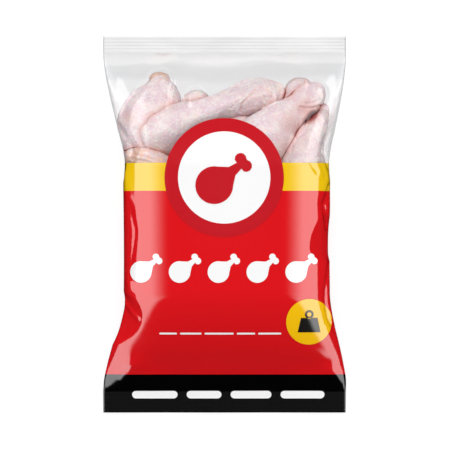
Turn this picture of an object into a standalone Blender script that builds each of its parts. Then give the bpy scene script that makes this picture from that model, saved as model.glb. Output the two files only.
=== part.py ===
"""A sealed pillow bag of frozen chicken drumsticks, lying on its back with the printed face up.

The bag is one tube of film, heat sealed flat across both ends, so it is one solid. The girth of the
film is the same all along, which is why the bag is narrower where it is full. Its clear upper end
shows drumsticks under the film, and its lower end is printed yellow, red and black.

Metres, +Z up. The origin is under the middle of the bag, on the surface it lies on. +Y runs along the
bag to the top seal, and +X is the right side of the printed face.
"""

import math

import bmesh
import bpy
from mathutils import Vector

# The film and its seals
FLAT_WIDTH = 0.320
LENGTH = 0.497
TOP_SEAL = 0.022
BOTTOM_SEAL = 0.028
FILM = 0.0012
GIRTH = 2 * FLAT_WIDTH

# The filled body, which is highest a little below its middle and leans a little to the right
FILL_HEIGHT = 0.103
TOP_SHOULDER = 0.150
BOTTOM_SHOULDER = 0.130
SHOULDER_POWER = 1.6
EQUATOR = 0.46
LIFT_RATE = 1.6
LEAN = 0.003
BASE_PRESS = 1.06
SETTLE = 0.035
SETTLE_PEAK = -0.045
SETTLE_WAVE = 0.36

# Exponents of the body's cross-section: 2 is an ellipse, and under 2 it is pointed at its sides
FULL_TOP, FULL_BASE = 2.35, 3.2
THIN_TOP, THIN_BASE = 1.45, 1.7
SHAPE_POWER = 0.8

# The flat seals, which droop to the floor and are crimped across
SEAL_HEIGHT = 0.0085
SEAL_DROOP = 0.0050
CRIMP_DEPTH = 0.0004
CRIMPS = 5
FLUTTER = 0.0011
FLUTTER_WAVES = 2.3
TOP_PHASE, BOTTOM_PHASE = 0.8, 2.1

# Where the printed fields of colour meet, measured down from the top of the bag
WINDOW_END = 0.168
YELLOW_END = 0.2045
RED_END = 0.446

# The grid of the mesh, and how finely a section is worked out
ACROSS = 34
ROWS = 52
END_CROWDING = 0.3
ARC_STEPS = 160
HALVINGS = 24

# Drumsticks that press on the window: joint end, thick end, and the radius at each, in metres
DRUMSTICKS = {
    "left": ((-0.084, 0.191), (-0.112, 0.126), 0.019, 0.036),
    "middle": ((0.052, 0.173), (-0.094, 0.113), 0.021, 0.035),
    "right": ((0.118, 0.172), (0.038, 0.100), 0.020, 0.036),
    "right_low": ((0.122, 0.136), (0.098, 0.066), 0.017, 0.024),
    "left_low": ((-0.104, 0.088), (-0.070, 0.040), 0.021, 0.030),
    "behind_middle": ((-0.040, 0.171), (-0.030, 0.120), 0.015, 0.020),
    "behind_right": ((0.099, 0.187), (0.090, 0.130), 0.016, 0.020),
}
RELIEF = 0.0085
RELIEF_FADE = 0.024
RELIEF_SAG = 0.55
RELIEF_SIDES = 0.25

# Folds of the film: start and end as (distance round from the middle of the face, Y), half width, depth
FOLDS = (
    ((-0.150, 0.205), (-0.140, 0.150), 0.008, 0.0030),
    ((0.151, 0.205), (0.141, 0.155), 0.008, 0.0030),
    ((-0.152, 0.084), (-0.122, 0.096), 0.008, 0.0060),
    ((0.158, 0.094), (0.132, 0.086), 0.008, 0.0065),
    ((-0.146, 0.035), (-0.128, -0.015), 0.010, 0.0050),
    ((0.156, -0.004), (0.120, -0.040), 0.010, 0.0065),
    ((-0.152, -0.102), (-0.118, -0.126), 0.010, 0.0070),
    ((-0.132, -0.086), (-0.116, -0.108), 0.007, 0.0040),
    ((0.157, -0.120), (0.130, -0.098), 0.009, 0.0060),
    ((-0.150, -0.205), (-0.132, -0.160), 0.010, 0.0035),
    ((0.150, -0.205), (0.132, -0.160), 0.010, 0.0035),
)
FOLD_RATE = 2.5

# Materials as base colour, roughness and transmission
FINISHES = {
    "clear_film": ((0.86, 0.87, 0.88, 1.0), 0.18, 0.8),
    "yellow_print": ((0.86, 0.60, 0.01, 1.0), 0.22, 0.0),
    "red_print": ((0.70, 0.012, 0.018, 1.0), 0.22, 0.0),
    "black_print": ((0.006, 0.006, 0.006, 1.0), 0.25, 0.0),
}

TOP_EDGE = LENGTH / 2
BOTTOM_EDGE = -LENGTH / 2
TOP_JOIN = TOP_EDGE - TOP_SEAL
BOTTOM_JOIN = BOTTOM_EDGE + BOTTOM_SEAL


def mix(low, high, share):
    return low + (high - low) * share


def smooth(share):
    """0 to 1 with level ends."""
    share = min(max(share, 0.0), 1.0)
    return share * share * (3 - 2 * share)


def shoulder(distance, length):
    """How full the bag is at this distance from a seal: it rises at once and levels off."""
    share = min(max(distance / length, 0.0), 1.0)
    return 1 - (1 - share) ** SHOULDER_POWER


def fullness(y):
    """Share of the fill height at y."""
    settled = 1 - SETTLE * (1 - math.cos(math.tau * (y - SETTLE_PEAK) / SETTLE_WAVE)) / 2
    return settled * shoulder(TOP_JOIN - y, TOP_SHOULDER) * shoulder(y - BOTTOM_JOIN, BOTTOM_SHOULDER)


def arc(half_width, height, exponent, sign):
    """Half of a superellipse, from its left end to its right, as (x, z)."""
    points = []
    for step in range(ARC_STEPS + 1):
        angle = math.pi * (1 - step / ARC_STEPS)
        c, s = math.cos(angle), math.sin(angle)
        x = half_width * math.copysign(abs(c) ** (2 / exponent), c)
        z = sign * height * abs(s) ** (2 / exponent)
        points.append((x, z))
    return points


def run_length(points):
    return sum(math.dist(a, b) for a, b in zip(points, points[1:]))


def evenly(points, count):
    """The points at equal distances along this run, count + 1 of them."""
    total = run_length(points)
    placed = [points[0]]
    walked = 0.0
    wanted = 1
    for a, b in zip(points, points[1:]):
        step = math.dist(a, b)
        while wanted < count and walked + step >= wanted * total / count:
            share = (wanted * total / count - walked) / step
            placed.append((mix(a[0], b[0], share), mix(a[1], b[1], share)))
            wanted += 1
        walked += step
    placed.append(points[-1])
    return placed


def section(y):
    """The bag's cross-section at y: its upper and lower runs of (x, z), left to right.

    Its width is found by halving, so that the film's girth comes out the same at every y.
    """
    full = fullness(y)
    height = FILL_HEIGHT * full
    up, down = height * (1 - EQUATOR), height * EQUATOR
    shape = full**SHAPE_POWER
    top_power, base_power = mix(THIN_TOP, FULL_TOP, shape), mix(THIN_BASE, FULL_BASE, shape)
    narrow, wide = FLAT_WIDTH / 4, FLAT_WIDTH / 2
    for _ in range(HALVINGS):
        half_width = (narrow + wide) / 2
        upper = arc(half_width, up, top_power, 1)
        lower = arc(half_width, down, base_power, -1)
        if run_length(upper) + run_length(lower) > GIRTH:
            wide = half_width
        else:
            narrow = half_width
    return evenly(upper, ACROSS), evenly(lower, ACROSS)


def seal_rise(x, y):
    """How high the film's middle lies at a seal: level with the join, then down towards the floor."""
    past = max(y - TOP_JOIN, BOTTOM_JOIN - y, 0.0)
    reach = TOP_SEAL if y > 0 else BOTTOM_SEAL
    out = past / reach
    phase = TOP_PHASE if y > 0 else BOTTOM_PHASE
    wave = math.sin(math.tau * FLUTTER_WAVES * x / FLAT_WIDTH + phase)
    return SEAL_HEIGHT - SEAL_DROOP * out + FLUTTER * out * wave


def crimp(y):
    """The ridges that the sealing jaws press across the top and bottom seals."""
    past = max(y - TOP_JOIN, BOTTOM_JOIN - y, 0.0)
    reach = TOP_SEAL if y > 0 else BOTTOM_SEAL
    return CRIMP_DEPTH * math.sin(math.tau * (CRIMPS * past / reach - 0.25)) if past > 0 else 0.0


def distance_to_line(point, start, end):
    """Distance to the line between two points, and the share of the way along it."""
    along = (end[0] - start[0], end[1] - start[1])
    away = (point[0] - start[0], point[1] - start[1])
    share = (away[0] * along[0] + away[1] * along[1]) / (along[0] ** 2 + along[1] ** 2)
    share = min(max(share, 0.0), 1.0)
    return math.dist(away, (along[0] * share, along[1] * share)), share


def fold_depth(round_from_middle, y):
    """How far the film is pushed in here by its folds."""
    depth = 0.0
    for start, end, half_width, deepest in FOLDS:
        away, _ = distance_to_line((round_from_middle, y), start, end)
        depth += deepest * math.exp(-((away / half_width) ** 2))
    return depth


def relief(x, y):
    """How far the drumsticks under the window push the film up."""
    fade = smooth((y - (TOP_EDGE - WINDOW_END)) / RELIEF_FADE) * smooth((TOP_JOIN - y) / RELIEF_FADE)
    if fade == 0:
        return 0.0
    highest = 0.0
    for joint, thick, joint_radius, thick_radius in DRUMSTICKS.values():
        away, share = distance_to_line((x, y), joint, thick)
        radius = mix(joint_radius, thick_radius, share)
        highest = max(highest, 1 - (away / radius) ** 2)
    return RELIEF * fade * (math.sqrt(highest) - RELIEF_SAG)


def film_rows():
    """The Y of each row of the grid, closer together at the ends, where the bag curves most."""
    top = [TOP_EDGE - TOP_SEAL * step / (2 * CRIMPS) for step in range(2 * CRIMPS)]
    body = []
    for step in range(ROWS + 1):
        share = step / ROWS
        crowded = (1 - math.cos(math.pi * share)) / 2
        body.append(mix(TOP_JOIN, BOTTOM_JOIN, mix(share, crowded, END_CROWDING)))
    bottom = [BOTTOM_JOIN - BOTTOM_SEAL * (step + 1) / (2 * CRIMPS) for step in range(2 * CRIMPS)]
    return top + body + bottom


def outward(run, index, sign):
    """The direction out of the bag at a point of a run."""
    before, after = run[max(index - 1, 0)], run[min(index + 1, len(run) - 1)]
    across, up = after[0] - before[0], after[1] - before[1]
    size = math.hypot(across, up)
    return (-sign * up / size, sign * across / size)


def film_point(run, index, y, sign):
    """One point of the film: on the section, then folded, pushed up by the food, and set down."""
    full = fullness(y)
    x, z = run[index]
    round_from_middle = (index / ACROSS - 0.5) * FLAT_WIDTH
    if sign < 0:
        round_from_middle = math.copysign(FLAT_WIDTH, x) - round_from_middle
    normal = outward(run, index, sign)
    push = -fold_depth(round_from_middle, y) * min(full * FOLD_RATE, 1.0)
    if sign > 0:
        from_side = 1 - abs(round_from_middle) / (FLAT_WIDTH / 2)
        push += relief(x, y) * smooth(from_side / RELIEF_SIDES)
    x, z = x + normal[0] * push + LEAN * full, z + normal[1] * push
    height = FILL_HEIGHT * full
    middle = mix(seal_rise(x, y), height * EQUATOR, smooth(full * LIFT_RATE)) + crimp(y)
    z = middle + (z if sign > 0 else z * BASE_PRESS) + sign * FILM / 2
    return Vector((x, y, max(z, 0.0)))


def finish_of(centre):
    """The name of the printed field that a face lies in, by its distance from the top of the bag."""
    down = TOP_EDGE - centre.y
    if down < WINDOW_END:
        return "clear_film"
    if down < YELLOW_END:
        return "yellow_print"
    return "red_print" if down < RED_END else "black_print"


def principled(name, colour, roughness, transmission):
    material = bpy.data.materials.new(name)
    material.use_nodes = True
    shader = material.node_tree.nodes["Principled BSDF"]
    shader.inputs["Base Color"].default_value = colour
    shader.inputs["Roughness"].default_value = roughness
    shader.inputs["Metallic"].default_value = 0.0
    shader.inputs["Transmission Weight"].default_value = transmission
    return material


def bag_mesh():
    """The closed skin of the bag: a ring of points for each row, and the two ends closed across."""
    build = bmesh.new()
    rings = []
    for y in film_rows():
        upper, lower = section(y)
        over = [build.verts.new(film_point(upper, i, y, 1)) for i in range(ACROSS + 1)]
        under = [build.verts.new(film_point(lower, i, y, -1)) for i in range(ACROSS + 1)]
        rings.append(over + under[::-1])
    for ring, following in zip(rings, rings[1:]):
        for i in range(len(ring)):
            j = (i + 1) % len(ring)
            build.faces.new((ring[i], ring[j], following[j], following[i]))
    for ring in (rings[0], rings[-1]):
        over, under = ring[: ACROSS + 1], ring[ACROSS + 1 :][::-1]
        for i in range(ACROSS):
            build.faces.new((over[i], over[i + 1], under[i + 1], under[i]))
    bmesh.ops.recalc_face_normals(build, faces=build.faces)
    mesh = bpy.data.meshes.new("bag")
    build.to_mesh(mesh)
    build.free()
    return mesh


def make_bag():
    mesh = bag_mesh()
    mesh.shade_smooth()
    names = list(FINISHES)
    for name, (colour, roughness, transmission) in FINISHES.items():
        mesh.materials.append(principled(name, colour, roughness, transmission))
    for face in mesh.polygons:
        face.material_index = names.index(finish_of(face.center))
    bag = bpy.data.objects.new("bag", mesh)
    bpy.context.scene.collection.objects.link(bag)
    return bag


for leftover in list(bpy.data.objects):
    bpy.data.objects.remove(leftover, do_unlink=True)
make_bag()
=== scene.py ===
"""The looks of a sealed pillow bag of frozen chicken drumsticks, lying on its back.

The film is one sheet, worked out like the solid it replaces and then relaxed as a sheet that can't
stretch, so that its sides crease. Its clear upper end shows the drumsticks under it, and the rest is
printed in plain fields of colour. Metres, +Z up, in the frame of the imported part.
"""

import math

import bpy
import numpy as np
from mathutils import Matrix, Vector, geometry, noise
from mathutils.bvhtree import BVHTree


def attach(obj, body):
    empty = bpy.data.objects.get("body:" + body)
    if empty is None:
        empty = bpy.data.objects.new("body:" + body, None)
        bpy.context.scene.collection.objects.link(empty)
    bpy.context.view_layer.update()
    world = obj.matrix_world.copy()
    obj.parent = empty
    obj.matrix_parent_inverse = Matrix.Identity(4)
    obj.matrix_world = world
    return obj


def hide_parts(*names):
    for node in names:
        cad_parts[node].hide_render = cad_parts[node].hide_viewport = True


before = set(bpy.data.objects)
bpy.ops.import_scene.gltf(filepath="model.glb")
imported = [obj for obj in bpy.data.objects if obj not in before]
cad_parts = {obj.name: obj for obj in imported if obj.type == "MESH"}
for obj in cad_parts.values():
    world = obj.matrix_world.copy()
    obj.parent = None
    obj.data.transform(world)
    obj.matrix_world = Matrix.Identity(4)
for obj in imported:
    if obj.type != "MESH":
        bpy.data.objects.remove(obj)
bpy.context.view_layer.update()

# The film and its seals, as in the solid
FLAT_WIDTH = 0.320
LENGTH = 0.497
TOP_SEAL = 0.022
BOTTOM_SEAL = 0.028
SEAL_FILM = 0.0005
GIRTH = 2 * FLAT_WIDTH
FILL_HEIGHT = 0.103
TOP_SHOULDER = 0.150
BOTTOM_SHOULDER = 0.130
SHOULDER_POWER = 1.6
EQUATOR = 0.46
LIFT_RATE = 1.6
LEAN = 0.003
BASE_PRESS = 1.06
SETTLE = 0.035
SETTLE_PEAK = -0.045
SETTLE_WAVE = 0.36
FULL_TOP, FULL_BASE = 2.35, 3.2
THIN_TOP, THIN_BASE = 1.45, 1.7
SHAPE_POWER = 0.8
SEAL_HEIGHT = 0.0085
SEAL_DROOP = 0.0050
CRIMP_DEPTH = 0.0004
CRIMPS = 5
FLUTTER = 0.0011
FLUTTER_WAVES = 2.3
TOP_PHASE, BOTTOM_PHASE = 0.8, 2.1
PUCKER = 0.0038
PUCKER_WIDTH, PUCKER_LENGTH, PUCKER_PLACE = 0.042, 0.060, 3.7
PUCKER_REACH_TOP, PUCKER_REACH_BOTTOM = 0.014, 0.010
ARC_STEPS = 160
HALVINGS = 24

TOP_EDGE = LENGTH / 2
BOTTOM_EDGE = -LENGTH / 2
TOP_JOIN = TOP_EDGE - TOP_SEAL
BOTTOM_JOIN = BOTTOM_EDGE + BOTTOM_SEAL
WINDOW_FOOT = TOP_EDGE - 0.168
YELLOW_FOOT = TOP_EDGE - 0.2045
RED_FOOT = TOP_EDGE - 0.446

# Rows of the coarsest film between the joins and the borders of the printed fields, and columns
FIELD_ROWS = (18, 5, 30, 3)
ACROSS = 40
SEAL_ROWS = 30

# How far the drumsticks push the film up, and the places where they do: joint end, thick end, and the
# reach at each
RELIEF = 0.0070
RELIEF_FADE = 0.024
RELIEF_SAG = 0.45
RELIEF_SIDES = 0.25
RELIEF_POWER = 0.6
PRESSING = {
    "left": ((-0.084, 0.191), (-0.112, 0.126), 0.019, 0.036),
    "middle": ((0.052, 0.173), (-0.094, 0.113), 0.021, 0.035),
    "right": ((0.118, 0.172), (0.038, 0.100), 0.020, 0.036),
    "right_low": ((0.122, 0.136), (0.098, 0.066), 0.017, 0.024),
    "left_low": ((-0.104, 0.088), (-0.070, 0.040), 0.021, 0.030),
    "behind_middle": ((-0.040, 0.171), (-0.030, 0.120), 0.015, 0.020),
    "behind_right": ((0.099, 0.187), (0.090, 0.130), 0.016, 0.020),
}
# Folds: each is a line of points on the film as (distance round from its middle, Y), then its half
# width and its depth, which is below zero for a ridge
FOLDS = (
    (((-0.150, 0.205), (-0.140, 0.150)), 0.008, 0.0022),
    (((0.151, 0.205), (0.141, 0.155)), 0.008, 0.0022),
    (((-0.153, 0.128), (-0.128, 0.104), (-0.132, 0.094)), 0.006, 0.0040),
    (((-0.140, 0.064), (-0.137, 0.030)), 0.0070, -0.0014),
    (
        ((-0.1345, 0.028), (-0.1295, 0.010), (-0.125, -0.006), (-0.125, -0.016), (-0.131, -0.052)),
        0.003,
        0.0010,
    ),
    (((-0.136, -0.076), (-0.133, -0.083)), 0.006, -0.0016),
    (((-0.152, -0.102), (-0.119, -0.1235)), 0.0032, -0.0016),
    (((-0.122, -0.190), (-0.126, -0.200), (-0.131, -0.213), (-0.142, -0.2190)), 0.017, -0.0090),
    (((0.139, -0.1945), (0.1475, -0.2051), (0.156, -0.217)), 0.011, -0.0050),
    (((0.152, 0.130), (0.139, 0.108), (0.142, 0.092), (0.152, 0.080)), 0.0055, 0.0044),
    (((0.114, 0.079), (0.122, 0.070)), 0.0045, 0.0013),
    (((0.129, 0.080), (0.137, 0.064)), 0.0045, 0.0016),
    (((0.151, 0.046), (0.1375, 0.027), (0.141, 0.012), (0.152, 0.000)), 0.0068, 0.0044),
    (((0.152, -0.054), (0.1425, -0.080), (0.140, -0.100), (0.143, -0.124), (0.153, -0.138)), 0.005, 0.0046),
)
# Round pockets where a side is pushed in: middle as (distance round, Y), how far each reaches towards
# the face, upwards and downwards, and depth
POCKETS = (
    ((-0.160, 0.084), 0.020, 0.040, 0.030, 0.0070),
    ((0.160, 0.085), 0.030, 0.040, 0.030, 0.0040),
    ((-0.155, -0.122), 0.0435, 0.034, 0.036, 0.0064),
    ((0.150, -0.031), 0.040, 0.045, 0.018, 0.0046),
)
POCKET_SLOPE = 0.030
POCKET_RELEASE, RELEASE_START, RELEASE_RUN = 0.5, 0.140, 0.020
FOLD_RATE = 2.5

# The printed ring, under which the film stays smooth
MIDDLE_X = -0.0004
RING_CENTRE = (MIDDLE_X, 0.0612)
RING_RADIUS, DISC_RADIUS = 0.0776, 0.0600
RING_FADE = 0.036


def mix(low, high, share):
    return low + (high - low) * share


def smooth(share):
    """0 to 1 with level ends."""
    share = np.clip(share, 0.0, 1.0)
    return share * share * (3 - 2 * share)


def bell(share):
    """A smooth hump, 1 at 0 and nearly gone at 2 on both sides."""
    return np.exp(-(share**2))


def shoulder(distance, length):
    share = np.clip(distance / length, 0.0, 1.0)
    return 1 - (1 - share) ** SHOULDER_POWER


def fullness(y):
    settled = 1 - SETTLE * (1 - np.cos(math.tau * (y - SETTLE_PEAK) / SETTLE_WAVE)) / 2
    return settled * shoulder(TOP_JOIN - y, TOP_SHOULDER) * shoulder(y - BOTTOM_JOIN, BOTTOM_SHOULDER)


def arc(half_width, height, power, sign):
    """Half of a superellipse, from its left end to its right, as (x, z)."""
    angle = np.pi * (1 - np.arange(ARC_STEPS + 1) / ARC_STEPS)
    c, s = np.cos(angle), np.sin(angle)
    x = half_width * np.sign(c) * np.abs(c) ** (2 / power)
    z = sign * height * np.abs(s) ** (2 / power)
    return np.stack([x, z], axis=1)


def unit(vectors):
    return vectors / np.linalg.norm(vectors, axis=-1, keepdims=True)


def walked_to(points):
    """How far along their line each of these points lies."""
    return np.concatenate([[0.0], np.cumsum(np.linalg.norm(np.diff(points, axis=0), axis=1))])


def run_length(points):
    return np.linalg.norm(np.diff(points, axis=0), axis=1).sum()


def evenly(points, count):
    """count + 1 points at equal distances along this run."""
    walked = walked_to(points)
    wanted = np.linspace(0, walked[-1], count + 1)
    return np.stack([np.interp(wanted, walked, points[:, k]) for k in range(2)], axis=1)


def section_form(y):
    """Half width, height above and below the equator, and exponents of the bag's section at y."""
    full = float(fullness(y))
    height = FILL_HEIGHT * full
    up, down = height * (1 - EQUATOR), height * EQUATOR
    shape = full**SHAPE_POWER
    top_power, base_power = mix(THIN_TOP, FULL_TOP, shape), mix(THIN_BASE, FULL_BASE, shape)
    narrow, wide = FLAT_WIDTH / 4, FLAT_WIDTH / 2
    for _ in range(HALVINGS):
        half_width = (narrow + wide) / 2
        upper, lower = arc(half_width, up, top_power, 1), arc(half_width, down, base_power, -1)
        if run_length(upper) + run_length(lower) > GIRTH:
            wide = half_width
        else:
            narrow = half_width
    return half_width, up, down, top_power, base_power


def seal_rise(x, y):
    past = max(y - TOP_JOIN, BOTTOM_JOIN - y, 0.0)
    out = past / (TOP_SEAL if y > 0 else BOTTOM_SEAL)
    phase = TOP_PHASE if y > 0 else BOTTOM_PHASE
    wave = np.sin(math.tau * FLUTTER_WAVES * x / FLAT_WIDTH + phase)
    return SEAL_HEIGHT - SEAL_DROOP * out + FLUTTER * out * wave


def pucker(x, y):
    """Soft waves of the film just inside the seals, where it gathers."""
    inside = max(min(TOP_JOIN - y, y - BOTTOM_JOIN), 0.0)
    reach = PUCKER_REACH_TOP if y > 0 else PUCKER_REACH_BOTTOM
    share = inside / reach
    swell = PUCKER * share * math.exp(1 - share)
    along = y / PUCKER_LENGTH
    return swell * np.array([noise.noise(Vector((v / PUCKER_WIDTH, along, PUCKER_PLACE))) for v in x])


def crimp(y):
    past = max(y - TOP_JOIN, BOTTOM_JOIN - y, 0.0)
    reach = TOP_SEAL if y > 0 else BOTTOM_SEAL
    return CRIMP_DEPTH * math.sin(math.tau * (CRIMPS * past / reach - 0.25)) if past > 0 else 0.0


def distance_to_line(x, y, start, end):
    """Distance of points to the line between two points, and their share of the way along it."""
    along = np.array(end) - np.array(start)
    away_x, away_y = x - start[0], y - start[1]
    share = np.clip((away_x * along[0] + away_y * along[1]) / (along @ along), 0.0, 1.0)
    return np.hypot(away_x - along[0] * share, away_y - along[1] * share), share


def line_distance(x, y, line):
    """Distance from points to a line of several straight runs, all in metres."""
    return np.min([distance_to_line(x, y, a, b)[0] for a, b in zip(line, line[1:])], axis=0)


def fold_depth(round_from_middle, y):
    depth = np.zeros_like(round_from_middle)
    for line, half_width, deepest in FOLDS:
        away = line_distance(round_from_middle, y, line)
        depth += deepest * bell(away / half_width)
    from_middle = np.abs(round_from_middle)
    released = 1 - POCKET_RELEASE * smooth((from_middle - RELEASE_START) / RELEASE_RUN)
    for (place, middle), across, up, down, deepest in POCKETS:
        along = (y - middle) / (up if y > middle else down)
        inward = (1 - np.hypot((round_from_middle - place) / across, along)) * across / POCKET_SLOPE
        depth += deepest * released * (1 - (1 - np.clip(inward, 0, 1)) ** 2)
    return depth


def relief(x, y):
    fade = smooth((y - WINDOW_FOOT) / RELIEF_FADE) * smooth((TOP_JOIN - y) / RELIEF_FADE)
    highest = np.zeros_like(x)
    for joint, thick, joint_radius, thick_radius in PRESSING.values():
        away, share = distance_to_line(x, y, joint, thick)
        radius = mix(joint_radius, thick_radius, share)
        highest = np.maximum(highest, 1 - (away / radius) ** 2)
    flat_print = smooth((np.hypot(x - RING_CENTRE[0], y - RING_CENTRE[1]) - RING_RADIUS) / RING_FADE)
    return RELIEF * fade * flat_print * (smooth(highest) ** RELIEF_POWER - RELIEF_SAG)


def outward(run, sign):
    """The directions out of the bag along a run."""
    along = unit(np.gradient(run, axis=0))
    return np.stack([-sign * along[:, 1], sign * along[:, 0]], axis=1)


def film_ring(y, across):
    """The film once round at y: over the face from left to right, then back underneath."""
    half_width, up, down, top_power, base_power = section_form(y)
    full = float(fullness(y))
    sides = []
    for sign, height, power in ((1, up, top_power), (-1, down, base_power)):
        run = evenly(arc(half_width, height, power, sign), across)
        place = (np.arange(across + 1) / across - 0.5) * FLAT_WIDTH
        from_middle = place if sign > 0 else np.copysign(FLAT_WIDTH, run[:, 0]) - place
        push = -fold_depth(from_middle, y) * min(full * FOLD_RATE, 1.0)
        if sign > 0:
            push += relief(run[:, 0], y) * smooth((1 - np.abs(place) / (FLAT_WIDTH / 2)) / RELIEF_SIDES)
        normal = outward(run, sign)
        x = run[:, 0] + normal[:, 0] * push + LEAN * full
        z = run[:, 1] + normal[:, 1] * push
        middle = mix(seal_rise(x, y), FILL_HEIGHT * full * EQUATOR, smooth(full * LIFT_RATE)) + crimp(y)
        middle = middle + pucker(x, y)
        z = middle + (z if sign > 0 else z * BASE_PRESS) + sign * SEAL_FILM / 2
        sides.append(np.stack([x, np.full_like(x, y), np.maximum(z, 0.0)], axis=1))
    over, under = sides
    return np.concatenate([over[:-1], under[::-1][:-1]])


# Relaxing the film as a sheet that can't stretch
LEVELS = 3
PASSES = (60, 60, 40)
EXCESS = 0.006
EXCESS_BACK = 0.004
PUFF = (0.00004, 0.00002, 0.00001)
HOLD_MIDDLE, HOLD_SIDES, HOLD_RISE = 0.20, 0.060, 1.6
SMOOTHING = (0.10, 0.12, 0.14)
START_NOISE, START_NOISE_SIZE = 0.0006, 0.030
SETTLING = 5


def body_rows(level):
    """The Y of each row of the film between its seals, with a row on each border of the print."""
    borders = (TOP_JOIN, WINDOW_FOOT, YELLOW_FOOT, RED_FOOT, BOTTOM_JOIN)
    rows = [TOP_JOIN]
    for start, end, count in zip(borders, borders[1:], FIELD_ROWS):
        rows.extend(np.linspace(start, end, count * 2**level + 1)[1:])
    return np.array(rows)


def body_grid(level):
    return np.stack([film_ring(y, ACROSS * 2**level) for y in body_rows(level)])


def pull(a, b, rest):
    """Brings each pair of points to its rest distance, both by the same move."""
    apart = b - a
    length = np.maximum(np.linalg.norm(apart, axis=-1, keepdims=True), 1e-9)
    move = apart * (0.5 * (length - rest[..., None]) / length)
    a += move
    b -= move


def grid_normals(grid):
    down = np.gradient(grid, axis=0)
    across = (np.roll(grid, -1, axis=1) - np.roll(grid, 1, axis=1)) / 2
    normal = np.cross(down, across)
    return normal / np.maximum(np.linalg.norm(normal, axis=-1, keepdims=True), 1e-12)


def side_share(columns):
    """0 along the middle of the face and the back, and 1 along the two sides."""
    place = np.arange(columns) / columns
    return np.abs(np.cos(math.tau * place)) ** 3


def relax(grid, target, level):
    """Pulls the film to its flat lengths, which crumples its sides, and holds it near its target."""
    columns = grid.shape[1]
    side = side_share(columns)
    back = (np.arange(columns) >= columns // 2).astype(float)
    excess = EXCESS * side + EXCESS_BACK * back * (1 - side)
    rest_down = np.linalg.norm(np.diff(target, axis=0), axis=-1) * (1 + excess[None, :])
    own_across = np.linalg.norm(np.roll(target, -1, axis=1) - target, axis=-1)
    rest_across = np.maximum(GIRTH / columns, own_across)
    hold = mix(HOLD_MIDDLE, HOLD_SIDES, smooth(side * HOLD_RISE))[None, :, None]
    for _ in range(PASSES[level]):
        grid += grid_normals(grid) * PUFF[level] * side[None, :, None]
        for parity in (0, 1):
            pull(grid[parity:-1:2], grid[parity + 1 :: 2], rest_down[parity::2])
        for parity in (0, 1):
            turned = np.roll(grid, -parity, axis=1)
            rest = np.roll(rest_across, -parity, axis=1)[:, ::2]
            pull(turned[:, ::2], turned[:, 1::2], rest)
            grid = np.roll(turned, parity, axis=1)
        moved = grid - target
        near = (np.roll(moved, 1, axis=1) + np.roll(moved, -1, axis=1)) / 2
        moved += SMOOTHING[level] * (near - moved)
        moved[1:-1] += SMOOTHING[level] * ((moved[2:] + moved[:-2]) / 2 - moved[1:-1])
        moved *= 1 - hold
        moved[0] = 0
        moved[-1] = 0
        grid = target + moved
        grid[..., 2] = np.maximum(grid[..., 2], 0.0)
    return grid


def halfway(before, start, end, after):
    """The point halfway from start to end on a cubic curve that their neighbours shape."""
    return (-before + 9 * start + 9 * end - after) / 16


def finer(grid):
    """The grid with a point put halfway between neighbours each way, on cubic curves."""
    left, right, further = (np.roll(grid, shift, axis=1) for shift in (1, -1, -2))
    wide = np.empty((grid.shape[0], grid.shape[1] * 2, 3))
    wide[:, ::2], wide[:, 1::2] = grid, halfway(left, grid, right, further)
    padded = np.concatenate([wide[:1] * 2 - wide[1:2], wide, wide[-1:] * 2 - wide[-2:-1]])
    tall = np.empty((grid.shape[0] * 2 - 1, wide.shape[1], 3))
    tall[::2], tall[1::2] = wide, halfway(padded[:-3], padded[1:-2], padded[2:-1], padded[3:])
    return tall


def lumps(points, scale, seed):
    """Smooth noise from -1 to 1 at each point."""
    shift = Vector((seed * 7.3, seed * 3.1, seed * 5.7))
    values = [noise.noise(Vector(p) / scale + shift) for p in points.reshape(-1, 3)]
    return np.array(values).reshape(points.shape[:-1])


def relaxed_body():
    target = body_grid(0)
    grid = target + grid_normals(target) * (lumps(target, START_NOISE_SIZE, 1) * START_NOISE)[..., None]
    grid = relax(grid, target, 0)
    for level in range(1, LEVELS):
        moved = finer(grid - target)
        target = body_grid(level)
        grid = relax(target + moved, target, level)
    moved = grid - target
    for _ in range(SETTLING):
        moved = (np.roll(moved, 1, axis=1) + 2 * moved + np.roll(moved, -1, axis=1)) / 4
        moved[1:-1] = (moved[2:] + 2 * moved[1:-1] + moved[:-2]) / 4
    grid = target + moved
    grid[..., 2] = np.maximum(grid[..., 2], 0.0)
    return grid


def add_object(name, data):
    thing = bpy.data.objects.new(name, data)
    bpy.context.scene.collection.objects.link(thing)
    return thing


def mesh_piece(name, points, faces, *materials, indices=None):
    mesh = bpy.data.meshes.new(name)
    mesh.from_pydata([tuple(p) for p in points], [], [tuple(f) for f in faces])
    for material in materials:
        mesh.materials.append(material)
    if indices is not None:
        mesh.polygons.foreach_set("material_index", np.array(indices, dtype=np.int32))
    mesh.shade_smooth()
    mesh.update()
    return add_object(name, mesh)


def store(piece, name, values):
    """Keeps a number for each point of a piece, for its material."""
    values = np.asarray(values, dtype=np.float32)
    piece.data.attributes.new(name, "FLOAT", "POINT").data.foreach_set("value", values)


def tube_faces(rows, columns):
    """Faces of a tube whose points run round it, row after row."""
    i, j = np.meshgrid(np.arange(rows - 1), np.arange(columns), indexing="ij")
    k = (j + 1) % columns
    here, below = i * columns, (i + 1) * columns
    return np.stack([here + j, below + j, below + k, here + k], axis=-1).reshape(-1, 4)


def surface_tree(points, faces):
    return BVHTree.FromPolygons([Vector(p) for p in points], [tuple(f) for f in faces])


def node_material(name):
    """A new material with its nodes and its links."""
    material = bpy.data.materials.new(name)
    material.use_nodes = True
    return material, material.node_tree.nodes, material.node_tree.links


def set_inputs(node, **values):
    for key, value in values.items():
        node.inputs[key.replace("_", " ")].default_value = value
    return node


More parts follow.
